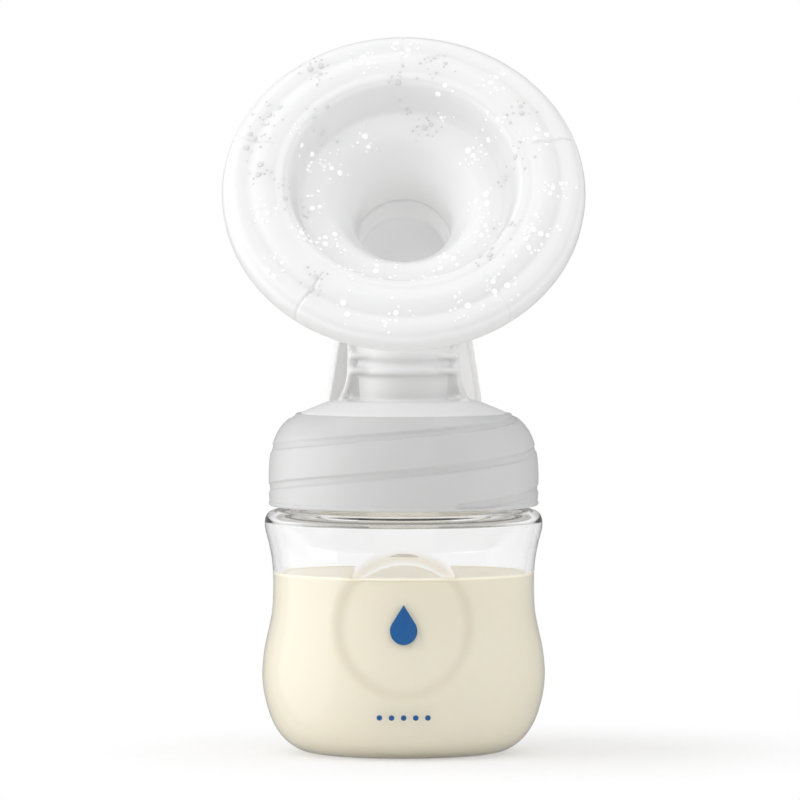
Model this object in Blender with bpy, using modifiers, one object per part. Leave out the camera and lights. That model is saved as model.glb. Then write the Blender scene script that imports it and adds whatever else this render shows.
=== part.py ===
"""Manual breast pump on a small feeding bottle.

Frame: metres, +Z up, origin at the centre of the bottle's foot. The funnel faces -Y and
tilts up, the handle is on the +Y side, +X is to the right when the funnel faces the viewer.
"""

from math import atan2, cos, pi, radians, sin

import bmesh
import bpy
from mathutils import Vector

MM = 0.001
GAP = 0.3 * MM                       # clearance between neighbouring pieces
MERGE = 0.00001                      # merge distance of every modifier that merges

# Bottle and milk
NECK_R = 26.6 * MM
NECK_BORE_R = 24.2 * MM
NECK_TOP_Z = 80.3 * MM
BOTTLE_WALL = 1.9 * MM
BOTTLE_FLOOR_Z = 3.0 * MM
MILK_TOP_Z = 45.0 * MM
MILK_CLEARANCE = 1.3 * MM            # keeps the milk's facets inside the bottle's facets
THREAD_PITCH = 5.0 * MM
THREAD_RIDGE_R = 1.4 * MM            # radius of the round thread ridge
BOTTLE_THREAD_Z = 66.5 * MM
BOTTLE_THREAD_TURNS = 1.0
RING_THREAD_TURNS = 0.75

# Screw ring
RING_BORE_R = 28.5 * MM
RING_MOUTH_R = 26.4 * MM             # opening in the top of the ring

# Pump body
FLANGE_TOP_Z = 82.4 * MM
FLANGE_BOTTOM_Z = NECK_TOP_Z + GAP
TRUNK_TOP_Z = 117.0 * MM
DUCT_R = 8.4 * MM                    # vertical milk duct
SPIGOT_R = 10.6 * MM
SPIGOT_BOTTOM_Z = 74.0 * MM
FUNNEL_TILT = radians(33.0)          # funnel axis above the horizontal
RIM_CENTRE = Vector((0.0, -38.0 * MM, 142.0 * MM))
CUP_Y = 23.0 * MM                    # axis of the diaphragm cup
CUP_FLOOR_Z = 118.0 * MM
CUP_TOP_Z = 136.0 * MM
CUP_RIM_R = 20.4 * MM
CUP_BORE_R = 16.6 * MM

# Handle
PIVOT_Y = 50.0 * MM
PIVOT_Z = 139.5 * MM
FORK_Z = 143.5 * MM                  # centre of the fork's round ends, on the stem's axis
FORK_R = 4.5 * MM
FORK_INNER_X = 4.4 * MM
FORK_OUTER_X = 6.9 * MM
TRUNNION_R = 2.4 * MM
HANDLE_WALL = 2.2 * MM

LARGE_STEPS = 32                     # facets around the large turned pieces
SMALL_STEPS = 24                     # facets around the small ones

COLOURS = {
    "bottle": ((0.90, 0.93, 0.94, 1.0), 0.05, 1.0),
    "milk": ((0.90, 0.82, 0.66, 1.0), 0.35, 0.0),
    "screw_ring": ((0.78, 0.78, 0.78, 1.0), 0.35, 0.1),
    "pump_body": ((0.86, 0.87, 0.88, 1.0), 0.30, 0.5),
    "cushion": ((0.92, 0.92, 0.93, 1.0), 0.45, 0.4),
    "duckbill_valve": ((0.90, 0.90, 0.90, 1.0), 0.50, 0.0),
    "diaphragm": ((0.90, 0.91, 0.92, 1.0), 0.45, 0.4),
    "diaphragm_stem": ((0.88, 0.88, 0.88, 1.0), 0.30, 0.0),
    "handle": ((0.92, 0.92, 0.92, 1.0), 0.28, 0.0),
}


def clear_scene():
    for item in list(bpy.data.objects):
        bpy.data.objects.remove(item, do_unlink=True)


def new_collection(name):
    collection = bpy.data.collections.new(name)
    bpy.context.scene.collection.children.link(collection)
    return collection


def new_object(name, data, collection):
    item = bpy.data.objects.new(name, data)
    collection.objects.link(item)
    return item


def hide_construction(item):
    item.hide_render = True
    item.display_type = "WIRE"


def principled(name):
    colour, roughness, transmission = COLOURS[name]
    material = bpy.data.materials.new(name)
    material.use_nodes = True
    shader = material.node_tree.nodes["Principled BSDF"]
    shader.inputs["Base Color"].default_value = colour
    shader.inputs["Roughness"].default_value = roughness
    shader.inputs["Metallic"].default_value = 0.0
    shader.inputs["Transmission Weight"].default_value = transmission
    return material


def finish_node(item):
    """Name the mesh, give it its own material and shade its round faces smooth."""
    item.data.name = item.name
    item.data.materials.clear()
    item.data.materials.append(principled(item.name))
    item.data.shade_smooth()


def scaled(points):
    return [(r * MM, z * MM) for r, z in points]


def turned(name, profile, collection, steps=LARGE_STEPS, closed=True):
    """Turn a profile of (radius, height) about Z. It runs down its outer side."""
    mesh = bpy.data.meshes.new(name)
    count = len(profile)
    edges = [(i, i + 1) for i in range(count - 1)]
    if closed:
        edges.append((count - 1, 0))
    mesh.from_pydata([(r, 0.0, z) for r, z in profile], edges, [])
    item = new_object(name, mesh, collection)
    screw = item.modifiers.new("turn", "SCREW")
    screw.axis = "Z"
    screw.angle = 2.0 * pi
    screw.steps = steps
    screw.render_steps = steps
    screw.use_merge_vertices = True
    screw.merge_threshold = MERGE
    return item


def along_funnel(item):
    """Turn an item's Z axis into the funnel's axis, with its origin at the rim's centre."""
    item.location = RIM_CENTRE
    item.rotation_euler = (pi / 2.0 - FUNNEL_TILT, 0.0, 0.0)


def box(name, low, high, collection):
    mesh = bpy.data.meshes.new(name)
    shape = bmesh.new()
    bmesh.ops.create_cube(shape, size=1.0)
    for vertex in shape.verts:
        for axis in range(3):
            middle = (low[axis] + high[axis]) / 2.0
            vertex.co[axis] = middle + vertex.co[axis] * (high[axis] - low[axis])
    shape.to_mesh(mesh)
    shape.free()
    return new_object(name, mesh, collection)


def cylinder(name, radius, start, end, collection, steps=SMALL_STEPS, end_radius=None):
    """A cylinder, or a cone where end_radius is given, between two points."""
    start, end = Vector(start), Vector(end)
    mesh = bpy.data.meshes.new(name)
    shape = bmesh.new()
    bmesh.ops.create_cone(
        shape, cap_ends=True, segments=steps, radius1=radius,
        radius2=radius if end_radius is None else end_radius, depth=(end - start).length)
    shape.to_mesh(mesh)
    shape.free()
    item = new_object(name, mesh, collection)
    item.location = (start + end) / 2.0
    item.rotation_mode = "QUATERNION"
    item.rotation_quaternion = (end - start).to_track_quat("Z", "Y")
    return item


def curve_as_mesh(item, collection):
    """Replace a curve object by a closed mesh object of the same name and place."""
    bpy.context.view_layer.update()
    evaluated = item.evaluated_get(bpy.context.evaluated_depsgraph_get())
    mesh = bpy.data.meshes.new_from_object(evaluated)
    shape = bmesh.new()
    shape.from_mesh(mesh)
    bmesh.ops.remove_doubles(shape, verts=shape.verts, dist=MERGE)
    bmesh.ops.recalc_face_normals(shape, faces=shape.faces)
    shape.to_mesh(mesh)
    shape.free()
    name = item.name
    place = item.matrix_world.copy()
    bpy.data.objects.remove(item, do_unlink=True)
    result = new_object(name, mesh, collection)
    result.matrix_world = place
    return result


def helical_ridge(name, radius, start_z, turns, collection):
    """A round ridge of the thread: a right-hand helix with closed ends."""
    curve = bpy.data.curves.new(name, "CURVE")
    curve.dimensions = "3D"
    curve.bevel_depth = THREAD_RIDGE_R
    curve.bevel_resolution = 1
    curve.use_fill_caps = True
    spline = curve.splines.new("POLY")
    count = int(LARGE_STEPS * turns)
    spline.points.add(count)
    for i, point in enumerate(spline.points):
        angle = 2.0 * pi * turns * i / count
        height = start_z + THREAD_PITCH * angle / (2.0 * pi)
        point.co = (radius * cos(angle), radius * sin(angle), height, 1.0)
    return curve_as_mesh(new_object(name, curve, collection), collection)


def side_plate(name, outline, inner_x, outer_x, collection):
    """A flat plate from inner_x to outer_x whose outline holds (y, z) points."""
    curve = bpy.data.curves.new(name, "CURVE")
    curve.dimensions = "2D"
    curve.fill_mode = "BOTH"
    curve.extrude = abs(outer_x - inner_x) / 2.0
    spline = curve.splines.new("POLY")
    spline.points.add(len(outline) - 1)
    spline.use_cyclic_u = True
    for point, (y, z) in zip(spline.points, outline):
        point.co = (y, z, 0.0, 1.0)
    item = new_object(name, curve, collection)
    item.location = ((inner_x + outer_x) / 2.0, 0.0, 0.0)
    item.rotation_euler = (pi / 2.0, 0.0, pi / 2.0)
    return curve_as_mesh(item, collection)


def link_outline(first, first_r, second, second_r, steps=8):
    """Outline around two circles and the straight sides between them."""
    direction = atan2(second[1] - first[1], second[0] - first[0])
    points = []
    for centre, radius, start in ((first, first_r, pi / 2.0), (second, second_r, -pi / 2.0)):
        for i in range(steps + 1):
            angle = direction + start + pi * i / steps
            points.append((centre[0] + radius * cos(angle), centre[1] + radius * sin(angle)))
    return points


def sheet(name, place, columns, rows, thickness, collection):
    """A shell over place(u, v), with u and v from 0 to 1."""
    mesh = bpy.data.meshes.new(name)
    shape = bmesh.new()
    bmesh.ops.create_grid(shape, x_segments=columns, y_segments=rows, size=0.5)
    for vertex in shape.verts:
        vertex.co = place(vertex.co.x + 0.5, vertex.co.y + 0.5)
    bmesh.ops.recalc_face_normals(shape, faces=shape.faces)
    shape.to_mesh(mesh)
    shape.free()
    item = new_object(name, mesh, collection)
    solidify = item.modifiers.new("wall", "SOLIDIFY")
    solidify.thickness = thickness
    solidify.offset = 0.0
    return item


def combine(item, other, operation):
    """Join another closed mesh to an item, or cut it out of the item."""
    hide_construction(other)
    boolean = item.modifiers.new(other.name, "BOOLEAN")
    boolean.operation = operation
    boolean.solver = "EXACT"
    boolean.object = other


def blend(points, t):
    """Smooth interpolation through (t, value) points."""
    if t <= points[0][0]:
        return points[0][1]
    for (t0, v0), (t1, v1) in zip(points, points[1:]):
        if t <= t1:
            part = (t - t0) / (t1 - t0)
            part = part * part * (3.0 - 2.0 * part)
            return v0 + (v1 - v0) * part
    return points[-1][1]


# ---------------------------------------------------------------- bottle and milk

BOTTLE_OUTSIDE = scaled([
    (34.2, 59.8), (34.85, 57.7), (34.3, 54.8), (33.0, 48.0), (32.75, 41.5), (33.0, 35.4),
    (34.8, 27.4), (35.5, 19.5), (34.8, 13.8), (33.2, 8.0), (31.0, 4.2), (28.2, 1.5)])


def bottle_inner_points():
    """The bottle's inner wall from the floor up to the shoulder, as (radius, height)."""
    wall = [(r - BOTTLE_WALL, z) for r, z in reversed(BOTTLE_OUTSIDE) if z > 5.0 * MM]
    return [(0.0, BOTTLE_FLOOR_Z), (24.0 * MM, BOTTLE_FLOOR_Z), (28.6 * MM, 4.6 * MM)] + wall[:-1]


def make_bottle(collection, construction):
    inner = bottle_inner_points() + [
        (32.0 * MM, 58.6 * MM), (28.0 * MM, 59.3 * MM), (NECK_BORE_R, 61.4 * MM),
        (NECK_BORE_R, NECK_TOP_Z)]
    outer = [(NECK_R, NECK_TOP_Z), (NECK_R, 61.4 * MM), (30.0 * MM, 61.0 * MM),
             (32.8 * MM, 60.8 * MM)] + BOTTLE_OUTSIDE
    foot = [(24.4 * MM, 0.0), (0.0, 0.0)]
    bottle = turned("bottle", inner + outer + foot, collection, closed=False)
    ridge = helical_ridge("bottle_thread", NECK_R + 0.2 * MM, BOTTLE_THREAD_Z,
                          BOTTLE_THREAD_TURNS, construction)
    combine(bottle, ridge, "UNION")
    return bottle


def make_milk(collection):
    inner = bottle_inner_points()
    top_r = 33.0 * MM - BOTTLE_WALL
    wall = [(r, z) for r, z in inner if z < MILK_TOP_Z and r > 0.0]
    outer = [(top_r, MILK_TOP_Z)] + list(reversed(wall))
    outer = [(r - MILK_CLEARANCE if z > BOTTLE_FLOOR_Z + MM else r - GAP, z + GAP)
             for r, z in outer]
    profile = [(0.0, outer[0][1])] + outer + [(0.0, outer[-1][1])]
    return turned("milk", profile, collection, closed=False)


# ---------------------------------------------------------------- screw ring

def make_screw_ring(collection, construction):
    """Outer skirt and an inner threaded sleeve, with a moulding pocket open at the bottom."""
    outside = scaled([
        (26.8, 85.1), (28.6, 83.8), (30.6, 81.8), (32.0, 79.6), (33.0, 76.6),
        (33.8, 72.5), (33.9, 67.8), (33.6, 63.0), (33.0, 61.8)])
    inside = scaled([
        (31.6, 61.8), (31.8, 72.0), (31.0, 77.0), (30.4, 77.0), (30.3, 62.4), (28.5, 62.4)])
    ceiling_z = FLANGE_TOP_Z + GAP
    top = [(RING_BORE_R, ceiling_z), (RING_MOUTH_R, ceiling_z), (RING_MOUTH_R, 84.8 * MM)]
    ring = turned("screw_ring", outside + inside + top, collection)
    ridge = helical_ridge("ring_thread", RING_BORE_R + 0.2 * MM,
                          BOTTLE_THREAD_Z - THREAD_PITCH / 2.0, RING_THREAD_TURNS, construction)
    combine(ring, ridge, "UNION")
    return ring


# ---------------------------------------------------------------- pump body

def funnel_shell(construction):
    """The rigid funnel and the outside of the tunnel, solid inside the tunnel."""
    front = scaled([
        (0.0, -16.2), (13.8, -16.2), (16.2, -12.6), (18.6, -9.0), (20.7, -7.4), (25.8, -6.6),
        (27.8, -3.9), (29.7, 0.2), (31.2, 1.2), (40.0, -0.3), (42.3, -1.8)])
    back = scaled([
        (42.3, -3.9), (31.8, -1.1), (30.3, -1.8), (27.2, -8.6), (21.3, -9.6), (19.4, -11.4),
        (17.0, -15.2), (15.4, -19.0), (15.2, -26.5), (13.2, -28.0), (13.0, -38.0),
        (0.0, -38.0)])
    item = turned("funnel_shell", front + back, construction, closed=False)
    along_funnel(item)
    return item


def tunnel_cavity(construction):
    profile = scaled([
        (0.0, -15.4), (14.6, -15.4), (13.6, -17.2), (13.6, -24.4), (11.4, -24.4), (11.2, -31.2),
        (0.0, -31.2)])
    item = turned("tunnel_cavity", profile, construction, SMALL_STEPS, closed=False)
    along_funnel(item)
    return item


def diaphragm_cup(construction):
    profile = [(0.0, CUP_TOP_Z), (CUP_RIM_R, CUP_TOP_Z), (CUP_RIM_R, CUP_TOP_Z - 2.4 * MM),
               (18.6 * MM, CUP_TOP_Z - 3.6 * MM), (18.4 * MM, CUP_FLOOR_Z + 2.0 * MM),
               (16.4 * MM, CUP_FLOOR_Z), (0.0, CUP_FLOOR_Z)]
    item = turned("cup_shell", profile, construction, SMALL_STEPS, closed=False)
    item.location.y = CUP_Y
    return item


def cup_cavity(construction):
    profile = [(0.0, CUP_TOP_Z + MM), (CUP_BORE_R, CUP_TOP_Z + MM),
               (CUP_BORE_R, CUP_FLOOR_Z + 3.4 * MM), (15.0 * MM, CUP_FLOOR_Z + 1.8 * MM),
               (0.0, CUP_FLOOR_Z + 1.8 * MM)]
    item = turned("cup_cavity", profile, construction, SMALL_STEPS, closed=False)
    item.location.y = CUP_Y
    return item


def side_web(side, construction):
    """A thin upright web beside the trunk that flares into the shoulder."""
    foot_z, head_z = 87.2 * MM, 120.0 * MM
    front_y = -6.0 * MM
    foot_depth, head_depth = 20.0 * MM, 9.0 * MM

    def place(u, v):
        z = foot_z + (head_z - foot_z) * v
        flare = max(0.0, (100.0 * MM - z) / (13.0 * MM)) ** 3
        x = 13.4 * MM + 3.2 * MM * flare
        depth = foot_depth + (head_depth - foot_depth) * v
        return Vector((side * x, front_y + depth * u, z))

    return sheet("web_%s" % ("right" if side > 0 else "left"), place, 2, 10, 1.3 * MM,
                 construction)


def junction(construction):
    """The rounded chamber where the trunk, the tunnel and the cup meet."""
    mesh = bpy.data.meshes.new("junction")
    shape = bmesh.new()
    bmesh.ops.create_uvsphere(shape, u_segments=24, v_segments=14, radius=14.2 * MM)
    shape.to_mesh(mesh)
    shape.free()
    item = new_object("junction", mesh, construction)
    item.location = (0.0, -2.5 * MM, 117.5 * MM)
    return item


def saddle(construction):
    """A leaning cone with level ends that carries the cup's floor on the back of the trunk."""
    foot_y, foot_z, foot_r = 5.0 * MM, 101.0 * MM, 9.0 * MM
    head_y, head_z, head_r = 20.0 * MM, CUP_FLOOR_Z + MM, 14.5 * MM
    item = cylinder("saddle", foot_r, (0.0, 0.0, foot_z), (0.0, 0.0, head_z), construction,
                    SMALL_STEPS, head_r)
    item.rotation_quaternion = (1.0, 0.0, 0.0, 0.0)
    for vertex in item.data.vertices:
        vertex.co.y += head_y if vertex.co.z > 0.0 else foot_y
    return item


def pivot_tongue(construction):
    """The tongue behind the cup that carries the handle on two round trunnions."""
    half = FORK_INNER_X - GAP
    upright = link_outline((PIVOT_Y, PIVOT_Z), 4.7 * MM, (PIVOT_Y, 127.5 * MM), 4.7 * MM)
    strut = link_outline((PIVOT_Y, 127.5 * MM), 4.7 * MM, (38.0 * MM, 123.0 * MM), 4.2 * MM)
    parts = [side_plate("tongue_upright", upright, -half, half, construction),
             side_plate("tongue_strut", strut, -half, half, construction)]
    trunnion_end = FORK_OUTER_X - 0.2 * MM
    parts.append(cylinder("trunnions", TRUNNION_R, (-trunnion_end, PIVOT_Y, PIVOT_Z),
                          (trunnion_end, PIVOT_Y, PIVOT_Z), construction, 20))
    return parts


def make_pump_body(collection, construction):
    trunk = [(0.0, TRUNK_TOP_Z), (11.5 * MM, TRUNK_TOP_Z)] + scaled([
        (11.5, 100.6), (12.6, 100.2), (12.6, 99.2), (11.5, 98.8), (11.4, 96.8), (12.8, 96.4),
        (12.8, 95.4), (11.3, 94.8), (11.0, 90.0), (12.0, 88.7), (18.3, 88.3), (20.1, 87.6),
        (24.0, 86.0), (25.8, 85.2), (26.0, 84.7)])
    plug = [(26.0 * MM, FLANGE_TOP_Z), (28.2 * MM, FLANGE_TOP_Z), (28.2 * MM, FLANGE_BOTTOM_Z),
            (SPIGOT_R, FLANGE_BOTTOM_Z), (SPIGOT_R, SPIGOT_BOTTOM_Z), (0.0, SPIGOT_BOTTOM_Z)]
    body = turned("pump_body", trunk + plug, collection, closed=False)
    for low_z in (95.2, 99.0):
        rib = box("rib_%d" % low_z, (-13.5 * MM, -9.0 * MM, low_z * MM),
                  (13.5 * MM, 9.0 * MM, (low_z + 1.4) * MM), construction)
        combine(body, rib, "UNION")
    for side in (-1, 1):
        combine(body, side_web(side, construction), "UNION")
    rear_wall = box("rear_wall", (-13.2 * MM, 6.4 * MM, 88.1 * MM),
                    (13.2 * MM, 7.8 * MM, 112.0 * MM), construction)
    combine(body, rear_wall, "UNION")
    joined = [junction(construction), saddle(construction), funnel_shell(construction),
              diaphragm_cup(construction)] + pivot_tongue(construction)
    for item in joined:
        combine(body, item, "UNION")
    milk_duct = cylinder("milk_duct", DUCT_R, (0.0, 0.0, SPIGOT_BOTTOM_Z - MM),
                         (0.0, 0.0, 115.0 * MM), construction)
    elbow = cylinder("elbow", 4.6 * MM, (0.0, 0.0, 112.2 * MM),
                     (0.0, -16.9 * MM, 119.9 * MM), construction, 20)
    air_duct = cylinder("air_duct", 3.6 * MM, (0.0, 11.0 * MM, 108.0 * MM),
                        (0.0, 11.0 * MM, CUP_FLOOR_Z + 3.0 * MM), construction, 16)
    for item in (tunnel_cavity(construction), cup_cavity(construction), milk_duct, elbow, air_duct):
        combine(body, item, "DIFFERENCE")
    weld = body.modifiers.new("weld", "WELD")
    weld.merge_threshold = MERGE
    return body


# ---------------------------------------------------------------- cushion

def make_cushion(collection):
    """Soft liner: rim with a shallow groove, step, inner bulge, mouth and tunnel sleeve."""
    front = scaled([
        (11.7, -24.0), (11.9, -17.0), (13.0, -13.5), (15.6, -9.5), (17.4, -7.0), (20.0, -5.1),
        (24.8, -4.1), (26.3, -2.0), (28.3, 2.4), (30.0, 3.9), (32.0, 4.2), (35.8, 3.6),
        (37.4, 3.0), (40.0, 2.8), (43.4, 1.4), (44.8, -0.6)])
    back = scaled([
        (44.6, -4.2), (42.7, -4.2), (42.7, -1.5), (40.1, 0.2), (31.2, 1.7), (29.4, 0.6),
        (27.4, -3.6), (25.6, -6.2), (20.4, -7.0), (18.2, -8.7), (15.9, -12.2), (13.2, -16.0),
        (13.2, -24.0)])
    item = turned("cushion", front + back, collection)
    along_funnel(item)
    return item


# ---------------------------------------------------------------- valve, diaphragm and stem

def duckbill_form(name, top_r, top_z, tip_z, half_width, half_thickness, construction):
    """A loft from a circle down to a flat bill."""
    item = cylinder(name, top_r, (0.0, 0.0, tip_z), (0.0, 0.0, top_z), construction)
    middle = (top_z - tip_z) / 2.0
    for vertex in item.data.vertices:
        if vertex.co.z < 0.0:
            vertex.co.x *= half_width / top_r
            vertex.co.y *= half_thickness / top_r
            vertex.co.z = -middle
    return item


def make_duckbill_valve(collection, construction):
    collar_bottom = SPIGOT_BOTTOM_Z - 1.5 * MM
    collar_top = FLANGE_BOTTOM_Z - GAP
    bore_r = SPIGOT_R + GAP
    profile = [(0.0, collar_top), (13.0 * MM, collar_top), (13.0 * MM, collar_bottom + MM),
               (12.0 * MM, collar_bottom), (0.0, collar_bottom)]
    valve = turned("duckbill_valve", profile, collection, SMALL_STEPS, closed=False)
    tip_z = 61.6 * MM
    bill = duckbill_form("bill", 10.8 * MM, collar_bottom + 0.5 * MM, tip_z, 8.5 * MM, 1.5 * MM,
                         construction)
    hollow = duckbill_form("bill_hollow", 9.4 * MM, collar_bottom + 3.0 * MM, tip_z - 0.2 * MM,
                           7.0 * MM, 0.4 * MM, construction)
    socket = cylinder("valve_socket", bore_r, (0.0, 0.0, SPIGOT_BOTTOM_Z - GAP),
                      (0.0, 0.0, collar_top + MM), construction)
    combine(valve, bill, "UNION")
    combine(valve, hollow, "DIFFERENCE")
    combine(valve, socket, "DIFFERENCE")
    return valve


def make_diaphragm(collection):
    """Soft bowl hung in the cup: skirt over the cup's rim, straight wall, flat floor."""
    floor_z = 122.6 * MM
    wall_r = CUP_BORE_R - GAP
    rim_z = CUP_TOP_Z + GAP
    skirt_r, skirt_z = CUP_RIM_R + 1.2 * MM, CUP_TOP_Z - 3.0 * MM
    outside = [
        (CUP_RIM_R, rim_z + 1.4 * MM), (skirt_r, rim_z + 0.4 * MM), (skirt_r, skirt_z),
        (CUP_RIM_R + GAP, skirt_z), (CUP_RIM_R + GAP, rim_z), (wall_r, rim_z),
        (wall_r, floor_z + 2.0 * MM), (wall_r - 2.0 * MM, floor_z), (3.2 * MM, floor_z)]
    inside = [
        (3.2 * MM, floor_z + 1.5 * MM), (wall_r - 2.6 * MM, floor_z + 1.5 * MM),
        (wall_r - 1.5 * MM, floor_z + 2.6 * MM), (wall_r - 1.5 * MM, rim_z + 0.6 * MM),
        (wall_r - 0.7 * MM, rim_z + 1.4 * MM)]
    item = turned("diaphragm", outside + inside, collection, SMALL_STEPS)
    item.location.y = CUP_Y
    return item


def make_stem(collection):
    """A spool: the fork runs between its collar and its head."""
    head_bottom = FORK_Z + FORK_R + 0.4 * MM
    collar_top = FORK_Z - FORK_R - 1.4 * MM      # leaves room for the fork to tilt
    profile = [
        (0.0, head_bottom + 2.4 * MM), (5.6 * MM, head_bottom + 2.2 * MM),
        (7.2 * MM, head_bottom + 1.0 * MM), (7.2 * MM, head_bottom), (3.4 * MM, head_bottom),
        (3.4 * MM, collar_top), (5.6 * MM, collar_top), (5.6 * MM, collar_top - 1.4 * MM),
        (4.0 * MM, collar_top - 3.0 * MM), (4.0 * MM, 124.5 * MM), (2.9 * MM, 124.5 * MM),
        (2.9 * MM, 122.3 * MM), (7.0 * MM, 122.3 * MM), (6.6 * MM, 120.6 * MM),
        (0.0, 120.6 * MM)]
    item = turned("diaphragm_stem", profile, collection, SMALL_STEPS, closed=False)
    item.location.y = CUP_Y
    return item


# ---------------------------------------------------------------- handle

# The middle line of the handle in the (y, z) plane, from above the stem to the grip's tip.
SPINE = scaled([
    (13.0, 152.0), (23.0, 155.0), (35.0, 156.0), (46.0, 154.0), (55.0, 148.0), (60.5, 137.0),
    (62.5, 122.0), (62.3, 106.0), (61.6, 92.0), (62.6, 78.0), (65.2, 67.0), (67.0, 61.5)])
HALF_WIDTHS = [(0.0, 5.0), (0.06, 9.4), (0.3, 12.0), (0.5, 14.0), (0.66, 16.4), (0.8, 19.6),
               (0.93, 20.6), (0.97, 18.0), (1.0, 12.0)]
EDGE_DROP = [(0.0, 2.0), (0.2, 4.0), (0.5, 5.2), (0.8, 5.0), (1.0, 1.6)]


def spine_point(t):
    """Catmull-Rom point and unit tangent on the spine, with t from 0 to 1."""
    spans = len(SPINE) - 1
    i = min(int(t * spans), spans - 1)
    s = t * spans - i
    p = [Vector(SPINE[min(max(i + k, 0), spans)]) for k in (-1, 0, 1, 2)]
    point = 0.5 * (2.0 * p[1] + (p[2] - p[0]) * s
                   + (2.0 * p[0] - 5.0 * p[1] + 4.0 * p[2] - p[3]) * s ** 2
                   + (3.0 * p[1] - p[0] - 3.0 * p[2] + p[3]) * s ** 3)
    slope = 0.5 * ((p[2] - p[0]) + 2.0 * (2.0 * p[0] - 5.0 * p[1] + 4.0 * p[2] - p[3]) * s
                   + 3.0 * (3.0 * p[1] - p[0] - 3.0 * p[2] + p[3]) * s ** 2)
    return point, slope.normalized()


def make_handle(collection, construction):
    def place(u, v):
        point, tangent = spine_point(v)
        across = 2.0 * u - 1.0
        inward = Vector((tangent.y, -tangent.x))
        drop = blend(EDGE_DROP, v) * MM * across ** 4
        x = blend(HALF_WIDTHS, v) * MM * across
        return Vector((x, point.x + inward.x * drop, point.y + inward.y * drop))

    handle = sheet("handle", place, 10, 30, HANDLE_WALL, collection)
    outlines = {
        "hub": link_outline((PIVOT_Y, PIVOT_Z), 5.2 * MM, (47.5 * MM, 147.0 * MM), 5.4 * MM),
        "rise": link_outline((39.5 * MM, 149.4 * MM), 6.2 * MM, (46.0 * MM, 148.2 * MM), 6.5 * MM),
        "arm": link_outline((47.0 * MM, 144.0 * MM), FORK_R, (CUP_Y, FORK_Z), FORK_R)}
    for side in (-1, 1):
        tag = "right" if side > 0 else "left"
        for label, shape in outlines.items():
            plate = side_plate("%s_%s" % (label, tag), shape, side * FORK_INNER_X,
                               side * FORK_OUTER_X, construction)
            combine(handle, plate, "UNION")
    hole = cylinder("pivot_hole", TRUNNION_R + GAP, (-FORK_OUTER_X - MM, PIVOT_Y, PIVOT_Z),
                    (FORK_OUTER_X + MM, PIVOT_Y, PIVOT_Z), construction, 20)
    combine(handle, hole, "DIFFERENCE")
    return handle


def main():
    clear_scene()
    parts = new_collection("breast_pump")
    construction = new_collection("construction")
    nodes = [
        make_bottle(parts, construction), make_milk(parts), make_screw_ring(parts, construction),
        make_pump_body(parts, construction), make_cushion(parts),
        make_duckbill_valve(parts, construction), make_diaphragm(parts), make_stem(parts),
        make_handle(parts, construction)]
    for node in nodes:
        finish_node(node)


main()
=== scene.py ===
"""Looks of the manual breast pump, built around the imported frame.

Metres, +Z up. The funnel faces -Y, the handle is on the +Y side.
"""
from math import atan2, cos, pi, radians, sin

import bmesh
import bpy
import numpy as np
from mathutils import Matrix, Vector


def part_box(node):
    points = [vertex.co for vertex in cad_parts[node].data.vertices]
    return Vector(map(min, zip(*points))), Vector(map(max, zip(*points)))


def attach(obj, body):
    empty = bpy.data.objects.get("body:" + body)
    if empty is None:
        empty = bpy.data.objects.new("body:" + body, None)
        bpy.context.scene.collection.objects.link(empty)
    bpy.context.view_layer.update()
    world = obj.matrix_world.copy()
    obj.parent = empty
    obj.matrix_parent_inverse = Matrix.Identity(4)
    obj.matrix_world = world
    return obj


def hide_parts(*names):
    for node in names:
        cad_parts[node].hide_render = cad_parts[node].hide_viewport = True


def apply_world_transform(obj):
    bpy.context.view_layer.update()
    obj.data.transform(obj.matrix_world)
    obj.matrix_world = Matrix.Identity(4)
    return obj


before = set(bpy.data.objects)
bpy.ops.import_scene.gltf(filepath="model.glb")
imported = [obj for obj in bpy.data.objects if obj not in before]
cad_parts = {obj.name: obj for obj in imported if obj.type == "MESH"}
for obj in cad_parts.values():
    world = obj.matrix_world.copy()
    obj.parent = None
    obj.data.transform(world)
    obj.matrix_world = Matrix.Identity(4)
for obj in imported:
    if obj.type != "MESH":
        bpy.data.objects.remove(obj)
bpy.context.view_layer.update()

MM = 0.001

# Sizes that several pieces share, in metres
FUNNEL_TILT = radians(33.0)
RIM_CENTRE = np.array((0.0, -38.0, 142.0)) * MM
BOTTLE_WALL = 1.9 * MM
FACE_CENTRE_Z = 33.6 * MM
FACE_INNER_R = 15.2 * MM
FACE_OUTER_R = 18.9 * MM
FACE_ASPECT = 0.95                   # the face is a little narrower than it is tall
FACE_DEPTH = 1.5 * MM                # outside
FACE_INNER_SHARE = 0.5               # of that depth, inside
MILK_TOP_Z = 45.0 * MM
CUP_Y = 23.0 * MM
PIVOT_Y, PIVOT_Z = 50.0 * MM, 139.5 * MM
FORK_Z, FORK_R = 143.5 * MM, 4.5 * MM
FORK_INNER_X, FORK_OUTER_X = 4.4 * MM, 6.9 * MM


# ---------------------------------------------------------------- mesh tools

def link(name, mesh):
    item = bpy.data.objects.new(name, mesh)
    bpy.context.scene.collection.objects.link(item)
    return item


def through(points, step=0.5 * MM):
    """Catmull-Rom curve through points given in millimetres, sampled about every step."""
    p = np.array(points, float) * MM
    padded = np.vstack([2 * p[0] - p[1], p, 2 * p[-1] - p[-2]])
    samples = []
    for i in range(1, len(padded) - 2):
        a, b, c, d = padded[i - 1:i + 3]
        count = max(2, int(np.ceil(np.linalg.norm(c - b) / step)))
        s = np.arange(count)[:, None] / count
        samples.append(0.5 * (2 * b + (c - a) * s + (2 * a - 5 * b + 4 * c - d) * s ** 2
                              + (3 * b - a - 3 * c + d) * s ** 3))
    samples.append(p[-1:])
    return np.vstack(samples)


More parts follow.
